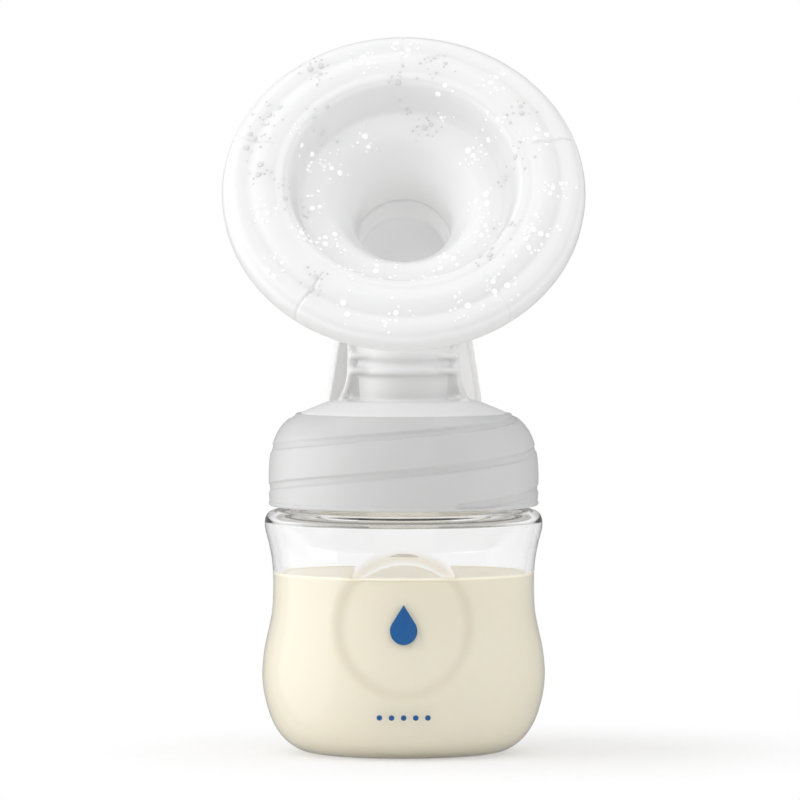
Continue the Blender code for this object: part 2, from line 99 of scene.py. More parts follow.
def eased(points, cut=0.5 * MM, samples=5):
    """Polyline in millimetres whose corners are rounded off over the length cut."""
    p = np.array(points, float) * MM
    out = [p[0]]
    for before, corner, after in zip(p, p[1:], p[2:]):
        back, ahead = before - corner, after - corner
        start = corner + back * min(0.45, cut / np.linalg.norm(back))
        end = corner + ahead * min(0.45, cut / np.linalg.norm(ahead))
        for s in np.linspace(0.0, 1.0, samples):
            out.append((1 - s) ** 2 * start + 2 * s * (1 - s) * corner + s ** 2 * end)
    out.append(p[-1])
    return np.array(out)


def grid_mesh(name, points, wrap_rows=False, wrap_columns=False):
    """Quads over points of shape (rows, columns, 3)."""
    rows, columns = points.shape[:2]
    index = np.arange(rows * columns).reshape(rows, columns)
    upper = index if wrap_rows else index[:-1]
    lower = np.roll(index, -1, 0) if wrap_rows else index[1:]
    if wrap_columns:
        left, right = slice(None), np.r_[1:columns, 0]
    else:
        left, right = slice(0, -1), slice(1, None)
    faces = np.stack([upper[:, left], lower[:, left], lower[:, right], upper[:, right]], -1)
    mesh = bpy.data.meshes.new(name)
    mesh.from_pydata(points.reshape(-1, 3).tolist(), [], faces.reshape(-1, 4).tolist())
    return mesh


def finished(name, shape):
    """The mesh of a bmesh, which is freed."""
    mesh = bpy.data.meshes.new(name)
    shape.to_mesh(mesh)
    shape.free()
    return mesh


def tidy_mesh(mesh):
    """Merge coincident points and face every surface outward."""
    shape = bmesh.new()
    shape.from_mesh(mesh)
    bmesh.ops.remove_doubles(shape, verts=shape.verts, dist=1e-7)
    bmesh.ops.recalc_face_normals(shape, faces=shape.faces)
    shape.to_mesh(mesh)
    shape.free()
    mesh.shade_smooth()


def around(steps):
    return np.arange(steps) * 2.0 * pi / steps


def profile_normals(profile):
    tangent = np.gradient(profile, axis=0)
    tangent /= np.maximum(np.linalg.norm(tangent, axis=1, keepdims=True), 1e-12)
    return np.stack([-tangent[:, 1], tangent[:, 0]], 1)


def revolve(name, profile, angles, closed=True, relief=None):
    """Turn (radius, height) about Z, running down the outer side.

    relief[i, j] sinks point i at angle j by that depth along the profile's normal.
    """
    radius = np.repeat(profile[:, :1], len(angles), 1)
    height = np.repeat(profile[:, 1:], len(angles), 1)
    if relief is not None:
        normal = profile_normals(profile)
        radius = radius - relief * normal[:, :1]
        height = height - relief * normal[:, 1:]
    points = np.stack([radius * np.cos(angles), radius * np.sin(angles), height], -1)
    mesh = grid_mesh(name, points, closed, True)
    tidy_mesh(mesh)
    return link(name, mesh)


def bake_transform(item):
    """Put the object's own transform into its mesh."""
    bpy.context.view_layer.update()
    item.data.transform(item.matrix_world)
    item.matrix_world.identity()
    item.location = (0.0, 0.0, 0.0)
    item.rotation_mode = "XYZ"
    item.rotation_euler = (0.0, 0.0, 0.0)
    item.scale = (1.0, 1.0, 1.0)


def along_funnel(item):
    """Turn a piece made about Z onto the funnel's axis."""
    item.location = Vector(RIM_CENTRE)
    item.rotation_euler = (pi / 2.0 - FUNNEL_TILT, 0.0, 0.0)
    bake_transform(item)
    return item


def move_y(item, distance):
    item.location.y = distance
    bake_transform(item)
    return item


def smoothstep(low, high, value):
    t = np.clip((value - low) / (high - low), 0.0, 1.0)
    return t * t * (3.0 - 2.0 * t)


def cylinder(name, radius, start, end, steps=48, end_radius=None):
    """A closed cylinder or cone between two points in millimetres."""
    start, end = Vector(start) * MM, Vector(end) * MM
    shape = bmesh.new()
    bmesh.ops.create_cone(
        shape, cap_ends=True, segments=steps, radius1=radius * MM,
        radius2=(radius if end_radius is None else end_radius) * MM, depth=(end - start).length)
    item = link(name, finished(name, shape))
    item.location = (start + end) / 2.0
    item.rotation_mode = "QUATERNION"
    item.rotation_quaternion = (end - start).to_track_quat("Z", "Y")
    bake_transform(item)
    return item


def bevelled_box(name, low, high, bevel):
    """A box between two corners in millimetres."""
    shape = bmesh.new()
    bmesh.ops.create_cube(shape, size=1.0)
    low, high = Vector(low) * MM, Vector(high) * MM
    for vertex in shape.verts:
        for axis in range(3):
            middle = (low[axis] + high[axis]) / 2.0
            vertex.co[axis] = middle + vertex.co[axis] * (high[axis] - low[axis])
    bmesh.ops.bevel(shape, geom=list(shape.edges), offset=bevel * MM, segments=3, profile=0.5,
                    affect="EDGES")
    return link(name, finished(name, shape))


def link_outline(first, first_r, second, second_r, steps=20):
    """Outline around two circles in the (y, z) plane and the sides between them."""
    direction = atan2(second[1] - first[1], second[0] - first[0])
    points = []
    for centre, radius, start in ((first, first_r, pi / 2.0), (second, second_r, -pi / 2.0)):
        for i in range(steps + 1):
            angle = direction + start + pi * i / steps
            points.append((centre[0] + radius * cos(angle), centre[1] + radius * sin(angle)))
    return points


def side_plate(name, outline, inner_x, outer_x):
    """A flat plate between two x positions with a (y, z) outline."""
    low, high = min(inner_x, outer_x), max(inner_x, outer_x)
    shape = bmesh.new()
    ring = [shape.verts.new((low, y, z)) for y, z in outline]
    face = shape.faces.new(ring)
    extruded = bmesh.ops.extrude_face_region(shape, geom=[face])
    for part in extruded["geom"]:
        if isinstance(part, bmesh.types.BMVert):
            part.co.x = high
    bmesh.ops.recalc_face_normals(shape, faces=shape.faces)
    return link(name, finished(name, shape))


def sheet(name, place, columns, rows, thickness):
    """A shell of even thickness over place(u, v), with u and v from 0 to 1."""
    u = np.linspace(0.0, 1.0, columns)
    v = np.linspace(0.0, 1.0, rows)
    points = np.array([[place(a, b) for a in u] for b in v])
    item = link(name, grid_mesh(name, points))
    solidify = item.modifiers.new("wall", "SOLIDIFY")
    solidify.thickness = thickness
    solidify.offset = 0.0
    return item


def apply_modifiers(item):
    bpy.context.view_layer.update()
    evaluated = item.evaluated_get(bpy.context.evaluated_depsgraph_get())
    mesh = bpy.data.meshes.new_from_object(evaluated)
    item.modifiers.clear()
    item.data = mesh


def moulded(item, joined, cut, voxel, smoothing):
    """Join and cut solids, then remesh the result so that its corners flow like a moulding."""
    for operation, others in (("UNION", joined), ("DIFFERENCE", cut)):
        for other in others:
            boolean = item.modifiers.new(other.name, "BOOLEAN")
            boolean.operation = operation
            boolean.solver = "EXACT"
            boolean.object = other
    remesh = item.modifiers.new("skin", "REMESH")
    remesh.mode = "VOXEL"
    remesh.voxel_size = voxel
    smooth = item.modifiers.new("smooth", "SMOOTH")
    smooth.factor = 0.5
    smooth.iterations = smoothing
    apply_modifiers(item)
    for other in joined + cut:
        bpy.data.objects.remove(other, do_unlink=True)
    item.data.shade_smooth()


# ---------------------------------------------------------------- materials

WHITE = (1.0, 1.0, 1.0, 1.0)
WALL_TINT = (0.97, 0.97, 0.97, 1.0)      # of the light that a thin wall lets through
DRIFT_STOPS = (0.2, 0.8)                 # the part of a noise between which a colour drifts
DRIFT_ROUGHNESS = 0.55
FACE_RIM_SPREAD = 0.6 * MM
# Painted shade along the face's edge within the milk, and a painted refraction of the milk's colour
# above it
FACE_RIM_SHADE_IN_MILK, FACE_RIM_REFRACTION_ABOVE_MILK = (0.86, 0.835, 0.785), (0.92, 0.87, 0.76)
# Painted shade of the cushion by distance from the funnel's axis, both ends in millimetres
FUNNEL_RINGS_END = 45.0
FUNNEL_RINGS = [
    (0.0, 1.0), (24.2, 1.0), (25.6, 0.93), (28.2, 0.92), (28.9, 0.99), (29.5, 0.94), (30.2, 1.0),
    (37.2, 1.0), (38.4, 0.95), (39.6, 1.0), (42.4, 1.0), (43.3, 0.94), (44.0, 0.99),
    (44.8, 0.86), (FUNNEL_RINGS_END, 1.0)]


def grey(value):
    return (value,) * 3


class Nodes:
    """A small helper around one node tree."""

    def __init__(self, tree):
        self.nodes, self.links = tree.nodes, tree.links

    def fill(self, node, settings):
        """Link or set a node's inputs, given by place or by name. None leaves one as it is."""
        for key, value in settings:
            socket = node.inputs[key.replace("_", " ") if isinstance(key, str) else key]
            if isinstance(value, bpy.types.NodeSocket):
                self.links.new(value, socket)
            elif value is not None:
                socket.default_value = value

    def add(self, kind, *inputs, operation=None, **named):
        node = self.nodes.new("ShaderNode" + kind)
        if operation:
            node.operation = operation
        self.fill(node, [*enumerate(inputs), *named.items()])
        return node

    def math(self, operation, first, second):
        return self.add("Math", first, second, operation=operation).outputs[0]

    def vector_math(self, operation, first, second=None):
        node = self.add("VectorMath", first, second, operation=operation)
        return node.outputs["Value" if operation in ("LENGTH", "DISTANCE") else "Vector"]

    def spread(self, value, low, high, top=1.0):
        """0 up to low, top from high on, and even between them."""
        return self.add("MapRange", value, low, high, 0.0, top).outputs["Result"]

    def ramp(self, value, stops, interpolation="LINEAR"):
        """Colour by value, from (value, colour) stops."""
        node = self.add("ValToRGB", value)
        node.color_ramp.interpolation = interpolation
        elements = node.color_ramp.elements
        for element, (position, colour) in zip(elements, (stops[0], stops[-1])):
            element.position, element.color = position, (*colour, 1.0)
        for position, colour in stops[1:-1]:
            elements.new(position).color = (*colour, 1.0)
        return node.outputs["Color"]

    def mix(self, share, first, second, blend="MIX"):
        node = self.add("MixRGB", share, first, second)
        node.blend_type = blend
        return node.outputs["Color"]

    def either_ray(self, first, second):
        """1 for rays of these two kinds, otherwise 0."""
        path = self.add("LightPath").outputs
        return self.math("MAXIMUM", path["Is %s Ray" % first], path["Is %s Ray" % second])

    def seen_directly(self):
        """1 for rays straight from the camera or through clear plastic, otherwise 0."""
        return self.either_ray("Camera", "Transmission")


class Shader(Nodes):
    """One material, around its principled shader. Lengths are in metres."""

    def __init__(self, name, colour, roughness):
        self.name = name
        self.material = bpy.data.materials.new(name)
        self.material.use_nodes = True
        super().__init__(self.material.node_tree)
        self.main = self.nodes["Principled BSDF"]
        self.set(Base_Color=(*colour, 1.0), Roughness=roughness)
        self.where = self.add("TexCoord").outputs["Object"]

    def set(self, **values):
        self.fill(self.main, values.items())
        return self

    def soft(self, weight, scale, colour=(1.0, 1.0, 1.0)):
        """Light that scatters below the surface, over about scale."""
        return self.set(Subsurface_Weight=weight, Subsurface_Scale=scale,
                        Subsurface_Radius=colour)

    def noise(self, scale, detail):
        return self.add("TexNoise", Vector=self.where, Scale=scale, Detail=detail,
                        Roughness=DRIFT_ROUGHNESS).outputs["Fac"]

    def drift(self, low, high, scale, detail):
        return self.ramp(self.noise(scale, detail), list(zip(DRIFT_STOPS, (low, high))))

    def mottle(self, low, high, scale):
        """Slow colour drift across the piece."""
        return self.set(Base_Color=self.drift(low, high, scale, 3.0))

    def wear(self, low, high, scale):
        """Roughness that drifts between two values."""
        return self.set(Roughness=self.drift(grey(low), grey(high), scale, 5.0))

    def grain(self, scale, depth):
        """Fine bump."""
        bump = self.add("Bump", Strength=1.0, Distance=depth, Height=self.noise(scale, 2.0))
        return self.set(Normal=bump.outputs["Normal"])

    def shade(self, factor):
        """Multiply the base colour by a factor."""
        colour = self.main.inputs["Base Color"].links[0].from_socket
        return self.set(Base_Color=self.mix(1.0, colour, factor, "MULTIPLY"))

    def facing(self, start, near, far):
        """A grey that turns from near to far where the surface is seen edge-on."""
        away = self.add("LayerWeight", Blend=0.5).outputs["Facing"]
        return self.ramp(away, [(start, grey(near)), (1.0, grey(far))])

    def edge(self, share, start=0.6):
        """Painted shade: darken the colour where the surface is seen edge-on, as on a thick
        translucent rim.
        """
        return self.shade(self.facing(start, 1.0, share))

    def funnel_shade(self):
        """Painted shade: faint darker rings about the funnel's axis, where the cushion's wall turns
        or thickens.
        """
        axis = (0.0, -cos(FUNNEL_TILT), sin(FUNNEL_TILT))
        out = self.vector_math("SUBTRACT", self.where, tuple(RIM_CENTRE))
        radius = self.vector_math("LENGTH", self.vector_math("CROSS_PRODUCT", out, axis))
        share = self.spread(radius, 0.0, FUNNEL_RINGS_END * MM)
        stops = [(r / FUNNEL_RINGS_END, grey(value)) for r, value in FUNNEL_RINGS]
        return self.shade(self.ramp(share, stops))

    def painted_face_rim(self):
        """White, with a painted ring along the edge of the bottle's recessed face: painted shade
        where the milk lies behind it, and a painted refraction of the milk's colour above it.
        """
        flat = self.vector_math("MULTIPLY", self.where, (1.0 / FACE_ASPECT, 0.0, 1.0))
        distance = self.vector_math("DISTANCE", flat, (0.0, 0.0, FACE_CENTRE_Z))
        across = self.spread(distance, FACE_INNER_R - FACE_RIM_SPREAD,
                             FACE_OUTER_R + FACE_RIM_SPREAD)
        ring = self.ramp(across, [(0.0, grey(0.0)), (0.5, grey(1.0)), (1.0, grey(0.0))], "EASE")
        split = self.add("SeparateXYZ", self.where).outputs
        above = self.spread(split["Z"], MILK_TOP_Z - FACE_RIM_SPREAD,
                            MILK_TOP_Z + FACE_RIM_SPREAD)
        colour = self.ramp(above, [(0.0, FACE_RIM_SHADE_IN_MILK), (1.0, FACE_RIM_REFRACTION_ABOVE_MILK)])
        front = self.math("LESS_THAN", split["Y"], 0.0)
        return self.mix(self.math("MULTIPLY", ring, front), WHITE, colour)

    def show(self, share, other):
        """Show another shader for a share, and the main one for the rest."""
        mix = self.add("MixShader", share, self.main.outputs["BSDF"], other.outputs[0])
        self.links.new(mix.outputs["Shader"], self.nodes["Material Output"].inputs["Surface"])
        return self

    def let_light(self, share):
        """Let a share of the light that reaches a thin wall from the scene pass through it."""
        passing = self.math("MULTIPLY", self.either_ray("Shadow", "Diffuse"), share)
        return self.show(passing, self.add("BsdfTransparent", WALL_TINT))


def clear_plastic():
    """Clear moulded plastic, with painted shade edge-on and the painted ring along the recessed
    face's edge.
    """
    shader = Shader("clear_plastic", grey(1.0), 0.03)
    shader.set(Transmission_Weight=1.0, IOR=1.49).grain(60.0, 0.01 * MM)
    # Painted shade edge-on, times the painted ring of shade and refraction along the face's edge
    painted_tint = shader.mix(1.0, shader.facing(0.72, 0.97, 0.80), shader.painted_face_rim(), "MULTIPLY")
    return shader.set(Base_Color=painted_tint).let_light(1.0)


def make_materials():
    silicone = Shader("soft_silicone", grey(0.91), 0.38).mottle(grey(0.895), grey(0.925), 45.0)
    silicone.soft(0.45, 3.0 * MM).set(IOR=1.41)
    # Painted shade edge-on, and painted shade rings about the funnel's axis
    silicone.wear(0.32, 0.44, 160.0).edge(0.84).funnel_shade()
    silicone.grain(2600.0, 0.006 * MM).let_light(0.8)

    # Painted light and shade: the bright dots glow a little and the grey dots are darker, as lit
    # and shaded copies of one kind of dot
    bright = Shader("dot_bright", grey(0.97), 0.2).mottle(grey(0.96), grey(0.98), 400.0)
    bright.set(Specular_IOR_Level=0.8, Emission_Color=WHITE, Emission_Strength=0.22)
    dim = Shader("dot_grey", grey(0.78), 0.3).mottle(grey(0.76), grey(0.80), 400.0)

    frosted = Shader("frosted_plastic", grey(0.91), 0.34).mottle(grey(0.895), grey(0.925), 60.0)
    frosted.soft(0.3, 2.0 * MM).set(IOR=1.49)
    # Painted shade edge-on
    frosted.wear(0.30, 0.38, 110.0).edge(0.84, 0.82)
    frosted.grain(1800.0, 0.005 * MM).let_light(0.92)

    ring = Shader("ring_plastic", grey(0.67), 0.23).mottle(grey(0.66), grey(0.68), 50.0)
    ring.soft(0.1, 1.0 * MM).set(IOR=1.49)
    ring.wear(0.21, 0.25, 120.0).grain(2200.0, 0.003 * MM).let_light(0.5)

    white = Shader("white_plastic", grey(0.90), 0.24).mottle(grey(0.89), grey(0.91), 30.0)
    white.soft(0.1, 1.0 * MM).wear(0.29, 0.33, 60.0).grain(1500.0, 0.005 * MM)

    milk = Shader("milk", (0.94, 0.87, 0.715), 0.3)
    milk.mottle((0.935, 0.86, 0.70), (0.945, 0.88, 0.735), 18.0)
    milk.soft(0.4, 3.0 * MM, (1.0, 0.85, 0.6)).set(IOR=1.35, Specular_IOR_Level=0.2)
    height = milk.add("SeparateXYZ", milk.where).outputs["Z"]
    painted_glow = milk.spread(height, MILK_TOP_Z - 0.3 * MM, MILK_TOP_Z - 0.05 * MM, 0.2)
    # Painted light: a faint glow on the top surface, for light that the liquid carries to it
    milk.set(Emission_Color=(0.92, 0.83, 0.62, 1.0), Emission_Strength=painted_glow)

    soft_white = Shader("white_silicone", grey(0.90), 0.5)
    soft_white.mottle(grey(0.885), grey(0.915), 80.0).soft(0.3, 2.0 * MM)
    soft_white.grain(2000.0, 0.010 * MM)

    blue = Shader("print_blue", (0.01, 0.11, 0.33), 0.3)
    blue.mottle((0.01, 0.10, 0.31), (0.014, 0.125, 0.36), 900.0)

    shaders = (silicone, bright, dim, frosted, ring, white, milk, soft_white, blue,
               clear_plastic())
    return {shader.name: shader.material for shader in shaders}


def dress(item, material, body, replaces=()):
    """Give a finished piece its material and its body, and hide the CAD parts that it replaces."""
    item.data.materials.clear()
    item.data.materials.append(material)
    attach(item, body)
    if replaces:
        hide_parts(*replaces)


# ---------------------------------------------------------------- bottle and milk

BOTTLE_OUTSIDE = [
    (32.5, 60.85), (33.8, 60.3), (34.6, 59.2), (34.9, 57.6), (34.75, 56.0), (34.3, 54.2),
    (33.75, 52.0), (33.0, 47.6), (32.75, 41.5), (33.0, 35.8), (33.8, 31.4), (34.85, 26.6),
    (35.4, 22.4), (35.5, 19.0), (35.2, 15.6), (34.5, 12.3), (33.4, 8.8), (31.9, 5.8),
    (30.0, 3.4), (27.8, 1.6), (25.6, 0.5), (23.6, 0.05)]
OUTER_WALL = through(BOTTLE_OUTSIDE, 0.7 * MM)
BOTTLE_STEPS, MILK_STEPS = 256, 192
MILK_OVERLAP = 0.15 * MM                         # into the wall, so that no film of air shows


def face_relief(profile, angles):
    """How far into the round recessed face of the bottle's front a wall's points lie."""
    x = profile[:, :1] * np.cos(angles)
    front = profile[:, :1] * np.sin(angles) < 0.0
    distance = np.hypot(x / FACE_ASPECT, profile[:, 1:] - FACE_CENTRE_Z)
    return (1.0 - smoothstep(FACE_INNER_R, FACE_OUTER_R, distance)) * front


def inner_wall():
    """The bottle's inner side, from the shoulder down to just above its floor."""
    inside = OUTER_WALL - BOTTLE_WALL * profile_normals(OUTER_WALL)
    return inside[inside[:, 1] > 3.8 * MM]


def make_bottle(materials):
    """The wall, from the middle of its inner floor over the neck and down to its foot."""
    angles = around(BOTTLE_STEPS)
    neck_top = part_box("bottle")[1].z / MM
    inside = inner_wall()[::-1]
    inside = inside[inside[:, 1] < 58.0 * MM]
    low = inside[0] / MM
    floor = eased([(0.0, 2.0), (21.0, 2.0), (25.4, 2.6), tuple(low)], 1.5 * MM)[:-1]
    high = inside[-1] / MM
    neck_in = eased([tuple(high), (31.8, 59.0), (28.0, 59.35), (24.6, 60.9), (24.2, 63.2),
                     (24.2, neck_top), (26.6, neck_top), (26.6, 61.3), (30.0, 61.05),
                     (32.5, 60.85)], 0.7 * MM)[1:-1]
    foot = np.array([(22.0, 0.0), (10.0, 0.0), (0.0, 0.0)]) * MM
    profile = np.vstack([floor, inside, neck_in, OUTER_WALL, foot])
    depth = np.zeros(len(profile))
    depth[len(floor):len(floor) + len(inside)] = -FACE_DEPTH * FACE_INNER_SHARE
    depth[-(len(OUTER_WALL) + len(foot)):-len(foot)] = FACE_DEPTH
    relief = face_relief(profile, angles) * depth[:, None]
    bottle = revolve("bottle_wall", profile, angles, False, relief)
    dress(bottle, materials["clear_plastic"], "bottle", ["bottle"])


def make_milk(materials):
    """The liquid, from the middle of its top over its lip and down the wall to its floor."""
    angles = around(MILK_STEPS)
    wall = inner_wall()
    wall = wall + MILK_OVERLAP * profile_normals(wall)
    wall = wall[wall[:, 1] < MILK_TOP_Z - 0.4 * MM]
    edge = wall[0] / MM
    top = MILK_TOP_Z / MM
    surface = np.vstack([[(0.0, top)], [(edge[0] * 0.6, top)], [(edge[0] - 2.2, top)]])
    rim = through([(edge[0] - 2.2, top), (edge[0] - 0.9, top + 0.12), (edge[0] - 0.2, top + 0.45),
                   (edge[0], top + 0.3), tuple(edge)], 0.2 * MM)
    last = wall[-1] / MM
    floor = eased([tuple(last), (25.5, 2.45), (21.0, 1.85), (0.0, 1.85)], 1.5 * MM)[1:]
    profile = np.vstack([surface[:-1] * MM, rim, wall[1:], floor])
    relief = face_relief(profile, angles) * FACE_DEPTH * FACE_INNER_SHARE
    relief[profile[:, 1] > MILK_TOP_Z - 0.1 * MM] = 0.0
    milk = revolve("milk_fill", profile, angles, False, relief)
    dress(milk, materials["milk"], "bottle", ["milk"])


def front_wall_y(x, z):
    """y of the bottle's outside on its front at (x, z), recess included, in metres."""
    radius = np.interp(z, OUTER_WALL[::-1, 1], OUTER_WALL[::-1, 0])
    distance = np.hypot(x / FACE_ASPECT, z - FACE_CENTRE_Z)
    depth = FACE_DEPTH * (1.0 - smoothstep(FACE_INNER_R, FACE_OUTER_R, distance))
    return -np.sqrt(np.maximum((radius - depth) ** 2 - x ** 2, 0.0))


PRINT_LIFT, PRINT_THICKNESS = 0.05 * MM, 0.06 * MM
DROPLET_Z, DROPLET_R, DROPLET_HEIGHT = 32.4 * MM, 3.4 * MM, 9.8 * MM
SPOTS, SPOT_Z, SPOT_R, SPOT_STEP = 5, 11.0 * MM, 0.7 * MM, 3.0 * MM


def printed_mark(name, outline, materials):
    """A thin printed patch that follows the bottle's front, from an (x, z) outline."""
    shape = bmesh.new()
    ring = [shape.verts.new((x, 0.0, z)) for x, z in outline]
    shape.faces.new(ring)
    bmesh.ops.triangulate(shape, faces=shape.faces)
    for _ in range(3):
        bmesh.ops.subdivide_edges(shape, edges=shape.edges, cuts=1, use_grid_fill=True)
    for vertex in shape.verts:
        vertex.co.y = front_wall_y(vertex.co.x, vertex.co.z) - PRINT_LIFT
    extruded = bmesh.ops.extrude_face_region(shape, geom=list(shape.faces))
    for part in extruded["geom"]:
        if isinstance(part, bmesh.types.BMVert):
            part.co.y -= PRINT_THICKNESS
    bmesh.ops.recalc_face_normals(shape, faces=shape.faces)
    dress(link(name, finished(name, shape)), materials["print_blue"], "bottle")


def make_marks(materials):
    """A plain droplet on the recessed face, a circle drawn out to a point, and a row of spots."""
    outline = []
    tip = DROPLET_HEIGHT - DROPLET_R
    touch = np.arccos(DROPLET_R / tip)
    for angle in np.linspace(pi / 2 + touch, pi / 2 - touch + 2 * pi, 40):
        outline.append((DROPLET_R * cos(angle), DROPLET_Z + DROPLET_R * sin(angle)))
    outline.append((0.0, DROPLET_Z + tip))
    printed_mark("droplet_mark", outline, materials)
    for k in range(SPOTS):
        middle = SPOT_STEP * (k - SPOTS // 2)
        spot = [(middle + SPOT_R * cos(a), SPOT_Z + SPOT_R * sin(a)) for a in around(20)]
        printed_mark("spot_mark_%d" % k, spot, materials)


# ---------------------------------------------------------------- screw ring

SWIRL_STARTS = (radians(24.5), radians(204.5))   # from the front, towards +X
SWIRL_PITCH = 20.0 * MM
SWIRL_START_Z = 1.5 * MM                         # above the ring's lower edge, along the wall
SWIRL_HALF_WIDTH = 1.25 * MM
SWIRL_DEPTH = 0.72 * MM
SWIRL_SIDE_SHARE = 0.4                           # of that depth, at the ring's sides
SWIRL_SLOPE = (0.52, 0.96)                       # where its side runs, in half widths
SWIRL_TURNS = 1.22
RING_STEPS = 420


def swirl_relief(profile, outer_count, angles):
    """Two shallow channels that climb the ring and run out over its shoulder."""
    outer = profile[:outer_count]
    steps = np.linalg.norm(np.diff(outer, axis=0), axis=1)
    height = np.concatenate([np.cumsum(steps[::-1])[::-1], [0.0]])[:, None]
    radius = np.maximum(outer[:, :1], 20.0 * MM)
    front = (angles + pi / 2.0) % (2.0 * pi)     # angle from the front towards +X
    depth = np.zeros((len(profile), len(angles)))
    for start in SWIRL_STARTS:
        for turn in (-1, 0, 1):
            along = front[None, :] - start + 2.0 * pi * turn
            inside = np.clip(along, 0.0, 2.0 * pi * SWIRL_TURNS)
            line = SWIRL_START_Z + SWIRL_PITCH * inside / (2.0 * pi)
            distance = np.hypot(height - line, (along - inside) * radius)
            groove = 1.0 - smoothstep(*SWIRL_SLOPE, distance / SWIRL_HALF_WIDTH)
            depth[:outer_count] = np.maximum(depth[:outer_count], SWIRL_DEPTH * groove)
    fade = smoothstep(0.2 * MM, 1.0 * MM, height) * smoothstep(
        0.2 * MM, 1.5 * MM, height[0] - height)
    sides = SWIRL_SIDE_SHARE + (1.0 - SWIRL_SIDE_SHARE) * np.abs(np.cos(front))
    depth[:outer_count] *= fade * sides
    return depth


def make_ring(materials):
    outer = through([
        (26.35, 84.9), (26.55, 85.15), (26.95, 85.1), (27.6, 84.7), (28.7, 83.9), (30.2, 82.5),
        (31.6, 80.6), (32.6, 78.4), (33.3, 76.0), (33.7, 73.4), (33.88, 70.5), (33.9, 67.8),
        (33.85, 65.0), (33.72, 63.5), (33.66, 63.1), (33.86, 62.85), (33.88, 62.45),
        (33.6, 62.05), (33.0, 61.85)], 0.22 * MM)
    inner = eased([
        (33.0, 61.85), (31.8, 61.8), (31.8, 72.0), (31.0, 77.0), (30.4, 77.0), (30.3, 62.4),
        (28.5, 62.4), (28.5, 82.7), (26.35, 82.7), (26.35, 84.9)], 0.3 * MM)[1:-1]
    profile = np.vstack([outer, inner])
    angles = around(RING_STEPS)
    relief = swirl_relief(profile, len(outer), angles)
    ring = revolve("screw_ring_shell", profile, angles, True, relief)
    dress(ring, materials["ring_plastic"], "screw_ring", ["screw_ring"])


THREAD_PITCH = 5.0 * MM
THREAD_RIDGE_R = 1.35 * MM
THREAD_END = 0.12                                # radians over which an end narrows


def helix_tube(name, radius, start_z, turns):
    """A round thread ridge with closed ends."""
    angle = np.linspace(0.0, 2.0 * pi * turns, int(160 * turns))[:, None]
    around_tube = around(14)
    ends = np.minimum(angle, angle[-1] - angle) / THREAD_END
    tube_r = THREAD_RIDGE_R * np.clip(ends, 0.02, 1.0) ** 0.5
    r = radius + tube_r * np.cos(around_tube)
    z = start_z + THREAD_PITCH * angle / (2.0 * pi) + tube_r * np.sin(around_tube)
    mesh = grid_mesh(name, np.stack([r * np.cos(angle), r * np.sin(angle), z], -1), False, True)
    shape = bmesh.new()
    shape.from_mesh(mesh)
    bmesh.ops.holes_fill(shape, edges=[e for e in shape.edges if e.is_boundary], sides=0)
    bmesh.ops.recalc_face_normals(shape, faces=shape.faces)
    shape.to_mesh(mesh)
    shape.free()
    mesh.shade_smooth()
    return link(name, mesh)


def make_threads(materials):
    bottle_ridge = helix_tube("bottle_thread", 26.8 * MM, 66.5 * MM, 1.0)
    dress(bottle_ridge, materials["clear_plastic"], "bottle")
    ring_ridge = helix_tube("ring_thread", 28.7 * MM, 64.0 * MM, 0.75)
    dress(ring_ridge, materials["ring_plastic"], "screw_ring")


# ---------------------------------------------------------------- pump body

TRUNNION_R, PIVOT_HOLE_R = 2.4, 2.7              # in millimetres


def pivot_line(half_length):
    """Both ends, in millimetres, of a line along the handle's pivot."""
    return [(side * half_length, PIVOT_Y / MM, PIVOT_Z / MM) for side in (-1, 1)]


def trunk(name):
    """The round trunk with its two rims, the shoulder disc and the plug below it."""
    profile = np.vstack([
        np.array([(0.0, 117.0), (11.5, 117.0)]) * MM,
        eased([(11.5, 101.6), (12.7, 100.9), (12.7, 99.0), (11.5, 98.6), (11.4, 97.2),
               (12.9, 96.6), (12.9, 95.2), (11.3, 94.6), (11.2, 91.4), (11.0, 89.4), (10.6, 88.3),
               (15.3, 88.4), (18.3, 88.3), (20.4, 87.55), (24.05, 86.05),
               (25.8, 85.3), (26.0, 84.8), (26.0, 82.4),
               (28.2, 82.4), (28.2, 80.6), (10.6, 80.6), (10.6, 74.0)], 0.45 * MM),
        [(0.0, 74.0 * MM)]])
    return revolve(name, profile, around(128), False)


